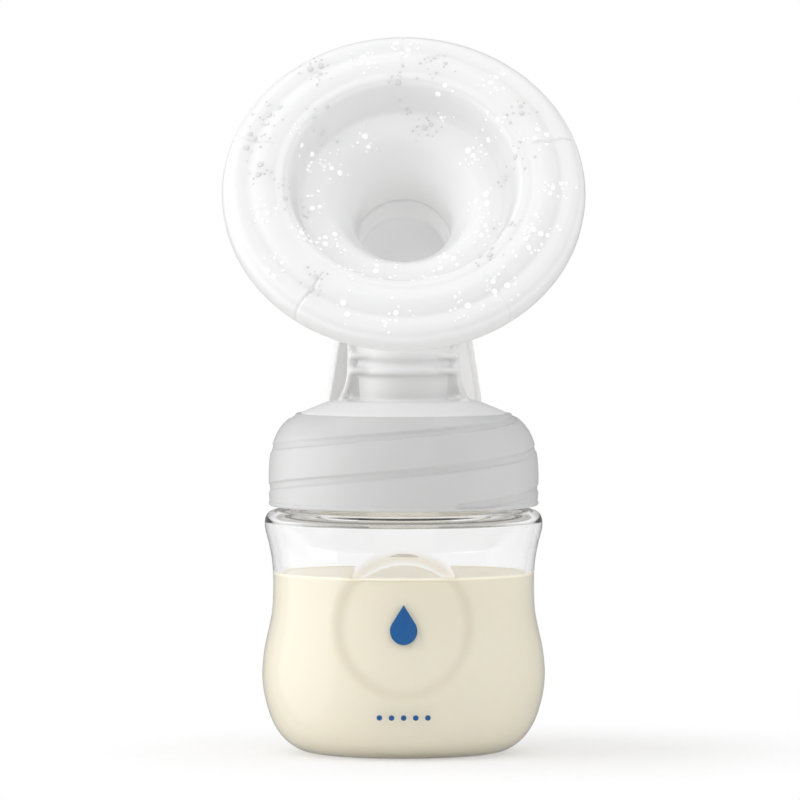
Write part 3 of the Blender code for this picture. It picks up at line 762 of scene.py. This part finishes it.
def make_core(materials):
    """Shoulder, trunk, ribs, webs, chamber, cup and pivot tongue as one moulding."""
    core = trunk("body_core")
    joined = []
    for low_z in (95.2, 99.0):
        joined.append(bevelled_box("rib_%d" % low_z, (-13.6, -9.5, low_z),
                                   (13.6, 9.0, low_z + 1.5), 0.35))
    for side in (-1, 1):
        def place(u, v, side=side):
            z = (86.0 + 34.0 * v) * MM
            flare = max(0.0, (100.0 * MM - z) / (13.0 * MM)) ** 3
            depth = (20.0 - 11.0 * v) * MM
            return (side * (13.4 + 3.2 * flare) * MM, -6.0 * MM + depth * u, z)
        joined.append(sheet("web_%d" % side, place, 4, 40, 1.3 * MM))
    joined.append(bevelled_box("rear_wall", (-13.3, 6.4, 86.4), (13.3, 7.8, 112.0), 0.3))
    sphere = bmesh.new()
    bmesh.ops.create_uvsphere(sphere, u_segments=64, v_segments=32, radius=14.2 * MM)
    chamber = link("chamber", finished("chamber", sphere))
    chamber.location = (0.0, -2.5 * MM, 117.5 * MM)
    bake_transform(chamber)
    joined.append(chamber)
    saddle = cylinder("saddle", 9.0, (0, 0, 101.0), (0, 0, 119.0), 64, 14.5)
    for vertex in saddle.data.vertices:
        vertex.co.y += 20.0 * MM if vertex.co.z > 110.0 * MM else 5.0 * MM
    joined.append(saddle)
    tunnel = revolve("tunnel", np.array([
        (0.0, -20.0), (15.2, -20.0), (15.2, -26.5), (13.2, -28.0), (13.0, -38.0),
        (0.0, -38.0)]) * MM, around(96), False)
    joined.append(along_funnel(tunnel))
    cup = revolve("cup", np.vstack([[(0.0, 136.0 * MM)], eased([
        (10.0, 136.0), (20.4, 136.0), (20.4, 133.6), (18.6, 132.4), (18.4, 120.0), (16.4, 118.0),
        (8.0, 118.0)], 0.8 * MM), [(0.0, 118.0 * MM)]]), around(96), False)
    joined.append(move_y(cup, CUP_Y))
    half = FORK_INNER_X - 0.3 * MM
    pivot, knee, root = (PIVOT_Y, PIVOT_Z), (PIVOT_Y, 127.5 * MM), (38.0 * MM, 123.0 * MM)
    for label, outline in (("upright", link_outline(pivot, 4.7 * MM, knee, 4.7 * MM)),
                           ("strut", link_outline(knee, 4.7 * MM, root, 4.2 * MM))):
        joined.append(side_plate("tongue_" + label, outline, -half, half))
    joined.append(cylinder("trunnions", TRUNNION_R, *pivot_line(6.7), 40))
    hollow = revolve("tunnel_hollow", np.array([
        (0.0, -12.0), (13.6, -12.0), (13.6, -24.4), (11.4, -24.4), (11.2, -31.2),
        (0.0, -31.2)]) * MM, around(96), False)
    bowl = revolve("bowl", np.vstack([[(0.0, 137.0 * MM)], eased([
        (10.0, 137.0), (16.6, 137.0), (16.6, 121.4), (15.0, 119.8), (8.0, 119.8)], 0.5 * MM),
        [(0.0, 119.8 * MM)]]), around(96), False)
    cut = [along_funnel(hollow), move_y(bowl, CUP_Y),
           cylinder("milk_duct", 8.4, (0, 0, 70.0), (0, 0, 115.0), 64),
           cylinder("elbow", 4.6, (0, 0, 112.2), (0, -16.9, 119.9), 48),
           cylinder("air_duct", 3.6, (0, 11.0, 108.0), (0, 11.0, 121.0), 32)]
    moulded(core, joined, cut, 0.5 * MM, 4)
    dress(core, materials["frosted_plastic"], "pump_head", ["pump_body"])


def make_funnel(materials):
    """The rigid funnel behind the cushion and the mouth of the tunnel."""
    front = through([
        (12.2, -24.5), (13.6, -24.3), (13.6, -20.0), (13.6, -17.0), (16.1, -12.8), (18.5, -9.2),
        (21.0, -7.5), (25.4, -6.8), (27.8, -3.9), (29.7, 0.0), (31.4, 1.2), (36.0, 0.5),
        (40.0, -0.3), (42.3, -1.8)], 0.7 * MM)
    back = through([
        (42.3, -3.7), (40.6, -3.0), (36.0, -1.7), (32.0, -1.1), (30.2, -2.0), (28.4, -6.0),
        (26.6, -8.8), (21.6, -9.6), (19.2, -11.6), (17.0, -15.2), (15.6, -18.6), (15.3, -22.0),
        (15.3, -25.8), (13.6, -27.6), (12.2, -27.4)], 0.7 * MM)
    funnel = revolve("body_funnel", np.vstack([front, back]), around(220))
    along_funnel(funnel)
    dress(funnel, materials["frosted_plastic"], "pump_head", ["pump_body"])


# ---------------------------------------------------------------- cushion

CUSHION_FRONT = [
    (11.7, -23.9), (11.75, -20.0), (12.05, -16.4), (12.9, -13.8), (14.1, -11.8), (15.6, -9.4),
    (17.1, -7.3), (18.9, -5.8), (21.2, -4.9), (23.6, -4.6), (25.2, -4.4), (26.1, -3.6),
    (26.8, -1.6), (27.5, 0.8), (28.3, 2.7), (29.4, 3.7), (30.6, 3.95), (31.6, 3.85), (32.6, 4.05),
    (34.6, 4.25), (36.2, 3.9), (37.6, 3.2), (38.8, 2.75), (40.2, 2.75), (41.6, 2.6),
    (43.0, 1.8), (44.1, 0.6), (44.6, -0.6), (44.8, -1.9)]
CUSHION_LINE = through(CUSHION_FRONT, 0.4 * MM)
CREASES = 5
CREASE_WIDTH = 0.5 * MM
CREASE_DEPTH = 0.36 * MM
CREASE_BEND = radians(0.25)
TOP_CREASE_SHARE = 0.35                          # the top one is fainter


def crease_relief(profile, angles):
    """Fine radial creases across the cushion's rim, evenly spaced from its top."""
    front_count = len(CUSHION_LINE)
    radius = CUSHION_LINE[:, :1]
    across = (radius - 37.0 * MM) / (7.0 * MM)
    bend = CREASE_BEND * np.cos(across * pi)
    depth = np.zeros((len(profile), len(angles)))
    for k in range(CREASES):
        centre = pi / 2.0 - k * 2.0 * pi / CREASES + bend
        turn = (angles[None, :] - centre + pi) % (2.0 * pi) - pi
        distance = np.abs(turn) * radius
        share = (distance / CREASE_WIDTH) ** 2
        strength = TOP_CREASE_SHARE if k == 0 else 1.0
        depth[:front_count] += strength * (1.0 - 0.9 * share) * np.exp(-share)
    fade = smoothstep(32.4 * MM, 34.4 * MM, radius)
    depth[:front_count] *= CREASE_DEPTH * fade
    return depth


def crease_angles(base=300, spread=4.0, fine=0.22):
    """Even angles, with many more near the creases."""
    angles = list(around(base))
    for k in range(CREASES):
        centre = 90.0 - k * 360.0 / CREASES
        angles += [radians(centre + d) % (2.0 * pi) for d in np.arange(-spread, spread, fine)]
    return np.unique(np.round(angles, 5))


def make_cushion(materials):
    back = eased([
        (44.8, -1.9), (44.6, -4.2), (42.7, -4.2), (42.7, -1.5), (40.1, 0.2), (31.2, 1.7),
        (29.4, 0.6), (27.4, -3.6), (25.6, -6.2), (20.4, -7.0), (18.2, -8.7), (15.9, -12.2),
        (13.2, -16.0), (13.2, -24.0), (11.7, -23.9)], 0.6 * MM)[1:-1]
    profile = np.vstack([CUSHION_LINE, back])
    angles = crease_angles()
    relief = crease_relief(profile, angles)
    cushion = revolve("cushion_skin", profile, angles, True, relief)
    along_funnel(cushion)
    dress(cushion, materials["soft_silicone"], "pump_head", ["cushion"])


def dot_points(radius, angle, size, height):
    """Rings of points of one low round dot on the cushion's front."""
    across, along = CUSHION_LINE.T
    here = np.interp(radius, across, along)
    normal = np.array([np.interp(radius, across, part)
                       for part in profile_normals(CUSHION_LINE).T])
    normal /= np.linalg.norm(normal)
    outward = np.array((cos(angle), sin(angle), 0.0))
    side = np.array((-sin(angle), cos(angle), 0.0))
    up = outward * normal[0] + np.array((0.0, 0.0, normal[1]))
    slope = np.cross(side, up)
    centre = outward * radius + np.array((0.0, 0.0, here))
    rings = []
    for share, lift in ((1.0, -0.25), (0.98, 0.35), (0.8, 0.8), (0.45, 1.0)):
        turn = around(14)[:, None]
        rings.append(centre + up * height * lift
                     + size * share * (np.cos(turn) * side + np.sin(turn) * slope))
    return np.array(rings)


# Bands of dot clusters: inner and outer radius in millimetres, clusters, shift, bright share (the
# share of clusters whose dots carry painted light rather than painted shade)
DOT_BANDS = ((34.5, 41.0, 20, 0.0, 0.62), (26.6, 29.0, 12, 0.25, 0.3), (18.6, 22.6, 10, 0.1, 0.9))
DOT_SEED = 11
CLUSTER_DOTS = (13, 24)
LARGE_DOTS = 4                                   # in each cluster, and the rest are small
LARGE_SIZE, LARGE_SPREAD = (0.55, 0.82), (0.8, 2.4)
SMALL_SIZE, SMALL_SPREAD = (0.2, 0.42), (1.4, 5.0)
DOT_AREA = (15.5 * MM, 43.4 * MM)
DOT_CLEARANCE = 1.2                              # between centres, in sums of sizes


def dot_layout():
    """Clusters of dots: a few large ones with a sprinkle of small ones around them."""
    rng = np.random.default_rng(DOT_SEED)
    dots = []
    for low, high, count, shift, bright_share in DOT_BANDS:
        for k in range(count):
            angle = (k + shift + rng.uniform(-0.28, 0.28)) * 2.0 * pi / count
            radius = rng.uniform(low, high) * MM
            bright = rng.uniform() < bright_share
            for i in range(rng.integers(*CLUSTER_DOTS)):
                large = i < LARGE_DOTS
                size = rng.uniform(*(LARGE_SIZE if large else SMALL_SIZE))
                spread = rng.uniform(*(LARGE_SPREAD if large else SMALL_SPREAD)) * MM
                turn = rng.uniform(0.0, 2.0 * pi)
                r = radius + spread * sin(turn)
                a = angle + spread * cos(turn) / radius
                dots.append((r, a, size * MM, bright))
    kept = []
    for r, a, size, bright in dots:
        if not DOT_AREA[0] < r < DOT_AREA[1]:
            continue
        if all((r * cos(a) - q * cos(b)) ** 2 + (r * sin(a) - q * sin(b)) ** 2
               > (DOT_CLEARANCE * (size + s)) ** 2 for q, b, s, _ in kept):
            kept.append((r, a, size, bright))
    return kept


def make_dots(materials):
    # The bright dots carry painted light and the grey dots painted shade
    for label, wanted in (("bright", True), ("grey", False)):
        shape = bmesh.new()
        for r, a, size, bright in dot_layout():
            if bright != wanted:
                continue
            rings = dot_points(r, a, size, 0.10 * MM + 0.12 * size)
            rows = [[shape.verts.new(p) for p in ring] for ring in rings]
            for lower, upper in zip(rows, rows[1:]):
                for i in range(len(lower)):
                    j = (i + 1) % len(lower)
                    shape.faces.new((lower[i], lower[j], upper[j], upper[i]))
            shape.faces.new(rows[-1])
            shape.faces.new(rows[0][::-1])
        bmesh.ops.recalc_face_normals(shape, faces=shape.faces)
        name = "dots_" + label
        item = along_funnel(link(name, finished(name, shape)))
        item.data.shade_smooth()
        dress(item, materials["dot_" + label], "pump_head")


# ---------------------------------------------------------------- diaphragm and stem

def make_diaphragm(materials):
    """Soft bowl whose wall stretches between the cup's rim and the moving stem."""
    outside = eased([
        (16.9, 137.7), (20.6, 137.7), (21.6, 136.7), (21.6, 133.0), (20.7, 133.0), (20.7, 136.3),
        (16.3, 136.3), (16.3, 124.6), (14.3, 122.6), (3.2, 122.6)], 0.6 * MM)
    inside = eased([
        (3.2, 122.6), (3.2, 124.1), (8.0, 124.1), (13.7, 124.1), (14.8, 125.2), (14.8, 136.9),
        (15.6, 137.7), (16.9, 137.7)], 0.6 * MM)[1:-1]
    fine = []
    for a, b in zip(np.vstack([outside, inside]), np.vstack([outside[1:], inside, outside[:1]])):
        count = max(1, int(np.linalg.norm(b - a) / (0.6 * MM)))
        fine += [a + (b - a) * s / count for s in range(count)]
    bowl = revolve("diaphragm_bowl", np.array(fine), around(96))
    move_y(bowl, CUP_Y)
    bowl.data.materials.append(materials["white_silicone"])
    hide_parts("diaphragm")
    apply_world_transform(bowl)


def make_stem(materials):
    head = (FORK_Z + FORK_R) / MM + 0.4
    collar = (FORK_Z - FORK_R) / MM - 1.4
    profile = eased([
        (0.0, head + 2.4), (5.6, head + 2.2), (7.2, head + 1.0), (7.2, head), (3.4, head),
        (3.4, collar), (5.6, collar), (5.6, collar - 1.4), (4.0, collar - 3.0), (4.0, 124.5),
        (2.9, 124.5), (2.9, 122.3), (7.0, 122.3), (6.6, 120.6), (0.0, 120.6)], 0.35 * MM)
    stem = revolve("stem_spool", profile, around(72), False)
    move_y(stem, CUP_Y)
    dress(stem, materials["white_plastic"], "stem", ["diaphragm_stem"])


# ---------------------------------------------------------------- handle

SPINE = [
    (13.0, 152.0), (23.0, 155.0), (35.0, 156.0), (46.0, 154.0), (55.0, 148.0), (60.5, 137.0),
    (62.5, 122.0), (62.3, 106.0), (61.6, 92.0), (62.6, 78.0), (65.2, 67.0), (67.0, 61.5)]
HALF_WIDTHS = [(0.0, 4.0), (0.012, 6.6), (0.03, 8.4), (0.07, 9.6), (0.3, 12.0), (0.5, 14.0),
               (0.66, 16.4), (0.8, 19.6), (0.88, 20.6), (0.925, 20.2), (0.955, 18.6), (0.978, 16.0),
               (0.99, 13.2), (1.0, 9.0)]
EDGE_DROP = [(0.0, 2.0), (0.2, 4.0), (0.5, 5.2), (0.8, 5.0), (1.0, 1.6)]
HANDLE_WALL = 2.2 * MM


def handle_surface():
    line = through(SPINE, 0.8 * MM)
    tangent = np.gradient(line, axis=0)
    tangent /= np.linalg.norm(tangent, axis=1, keepdims=True)
    inward = np.stack([tangent[:, 1], -tangent[:, 0]], 1)
    share = np.linspace(0.0, 1.0, len(line))
    width = np.interp(share, *np.array(HALF_WIDTHS).T) * MM
    width = np.convolve(np.pad(width, 2, mode="edge"), np.ones(5) / 5.0, mode="valid")
    drop = np.interp(share, *np.array(EDGE_DROP).T) * MM
    across = np.linspace(-1.0, 1.0, 49)
    sink = drop[:, None] * across[None, :] ** 4
    return np.stack([
        width[:, None] * across[None, :],
        line[:, :1] + inward[:, :1] * sink,
        line[:, 1:] + inward[:, 1:] * sink], -1)


def make_handle(materials):
    handle = link("handle_lever", grid_mesh("handle_lever", handle_surface()))
    solidify = handle.modifiers.new("wall", "SOLIDIFY")
    solidify.thickness = HANDLE_WALL
    solidify.offset = 0.0
    outlines = {
        "hub": link_outline((PIVOT_Y, PIVOT_Z), 5.2 * MM, (47.5 * MM, 147.0 * MM), 5.4 * MM),
        "rise": link_outline((39.5 * MM, 149.4 * MM), 6.2 * MM, (46.0 * MM, 148.2 * MM), 6.5 * MM),
        "arm": link_outline((47.0 * MM, 144.0 * MM), FORK_R, (CUP_Y, FORK_Z), FORK_R)}
    joined = []
    for side in (-1, 1):
        for label, outline in outlines.items():
            joined.append(side_plate("%s_%d" % (label, side), outline, side * FORK_INNER_X,
                                     side * FORK_OUTER_X))
    hole = cylinder("pivot_hole", PIVOT_HOLE_R, *pivot_line(8.0), 40)
    moulded(handle, joined, [hole], 0.4 * MM, 5)
    dress(handle, materials["white_plastic"], "handle", ["handle"])


# ---------------------------------------------------------------- stage

FLOOR_HALF_SIDE = 6.0
FLOOR_GAP = 0.2 * MM
# The floor's white share, by distance from a point a little to the right of the pump
FADE_CENTRE = (0.022, 0.0, 0.0)
FADE_STOPS = [(0.045, 0.38), (0.1, 1.0)]
STUDIO_STRENGTH = 2.5
# Brightness from the left to the right, and added from the ground to the zenith
SIDE_STOPS = [(0.0, 0.72), (0.04, 0.66), (0.11, 0.30), (0.22, 0.15), (0.5, 0.11), (0.85, 0.12),
              (1.0, 0.17)]
HEIGHT_STOPS = [(0.0, 0.0), (0.5, 0.01), (0.85, 0.06), (0.94, 0.38), (1.0, 0.44)]
# Place, aim, width, height and watts of each lamp
PUMP_MIDDLE = (0.0, 0.0, 0.09)
LAMPS = {
    "key": ((-0.85, -0.45, 0.62), PUMP_MIDDLE, 0.6, 0.6, 1.9),
    "front": ((0.35, -1.1, 0.55), (0.0, -0.03, 0.13), 0.5, 0.5, 1.4),
    "left_strip": ((-0.9, 0.1, 0.3), PUMP_MIDDLE, 0.25, 0.9, 0.2),
    "right_fill": ((0.95, -0.1, 0.4), PUMP_MIDDLE, 0.6, 0.6, 1.6)}
CAMERA_PLACE = Vector((-0.9 * MM, -2.0, 0.165))
CAMERA_AIM = Vector((-0.9 * MM, 0.0, 88.4 * MM))
CAMERA_SENSOR, CAMERA_LENS = 36.0, 358.6


def aimed(place, aim):
    """Rotation of a lamp or camera at place that looks at aim."""
    return (Vector(aim) - Vector(place)).to_track_quat("-Z", "Y").to_euler()


def make_floor():
    """A pale table that fades into the white background away from the pump."""
    shape = bmesh.new()
    bmesh.ops.create_grid(shape, x_segments=1, y_segments=1, size=FLOOR_HALF_SIDE)
    floor = link("floor", finished("floor", shape))
    floor.location.z = -FLOOR_GAP
    floor.visible_glossy = False
    paper = Shader("paper", grey(0.96), 0.9).mottle(grey(0.955), grey(0.965), 2.0)
    distance = paper.vector_math("DISTANCE", paper.where, FADE_CENTRE)
    fade = paper.ramp(distance, [(at, grey(value)) for at, value in FADE_STOPS])
    seen = paper.math("MULTIPLY", fade, paper.seen_directly())
    paper.show(seen, paper.add("Emission", WHITE))
    floor.data.materials.append(paper.material)


def make_world():
    """White behind the object; its light and reflections come from a soft graded studio."""
    world = bpy.data.worlds.new("studio")
    bpy.context.scene.world = world
    world.use_nodes = True
    tree = Nodes(world.node_tree)
    direction = tree.add("SeparateXYZ", tree.add("TexCoord").outputs["Generated"]).outputs
    graded = []
    for axis, stops in (("X", SIDE_STOPS), ("Z", HEIGHT_STOPS)):
        across = tree.spread(direction[axis], -1.0, 1.0)
        graded.append(tree.ramp(across, [(at, grey(value)) for at, value in stops], "EASE"))
    studio = tree.mix(1.0, *graded, "ADD")
    backdrop = (*grey(1.0 / STUDIO_STRENGTH), 1.0)
    colour = tree.mix(tree.seen_directly(), studio, backdrop)
    tree.fill(tree.nodes["Background"], [("Color", colour), ("Strength", STUDIO_STRENGTH)])


def make_lights():
    for name, (place, aim, width, height, watts) in LAMPS.items():
        data = bpy.data.lights.new(name, "AREA")
        data.energy = watts
        data.shape = "SQUARE" if width == height else "RECTANGLE"
        data.size, data.size_y = width, height
        lamp = link(name, data)
        lamp.location = place
        lamp.visible_glossy = False
        lamp.rotation_euler = aimed(place, aim)


def make_camera():
    """A long lens a little above the pump, as for a catalogue picture."""
    data = bpy.data.cameras.new("camera")
    data.sensor_width, data.lens = CAMERA_SENSOR, CAMERA_LENS
    data.clip_start, data.clip_end = 0.1, 50.0
    camera = link("camera", data)
    camera.location = CAMERA_PLACE
    camera.rotation_euler = aimed(CAMERA_PLACE, CAMERA_AIM)
    bpy.context.scene.camera = camera


def main():
    bpy.context.scene.view_settings.view_transform = "Standard"
    materials = make_materials()
    make_bottle(materials)
    make_milk(materials)
    make_marks(materials)
    make_ring(materials)
    make_threads(materials)
    make_core(materials)
    make_funnel(materials)
    make_cushion(materials)
    make_dots(materials)
    make_diaphragm(materials)
    make_stem(materials)
    make_handle(materials)
    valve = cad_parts["duckbill_valve"]
    valve.data.materials.clear()
    valve.data.materials.append(materials["white_silicone"])
    make_floor()
    make_world()
    make_lights()
    make_camera()


main()
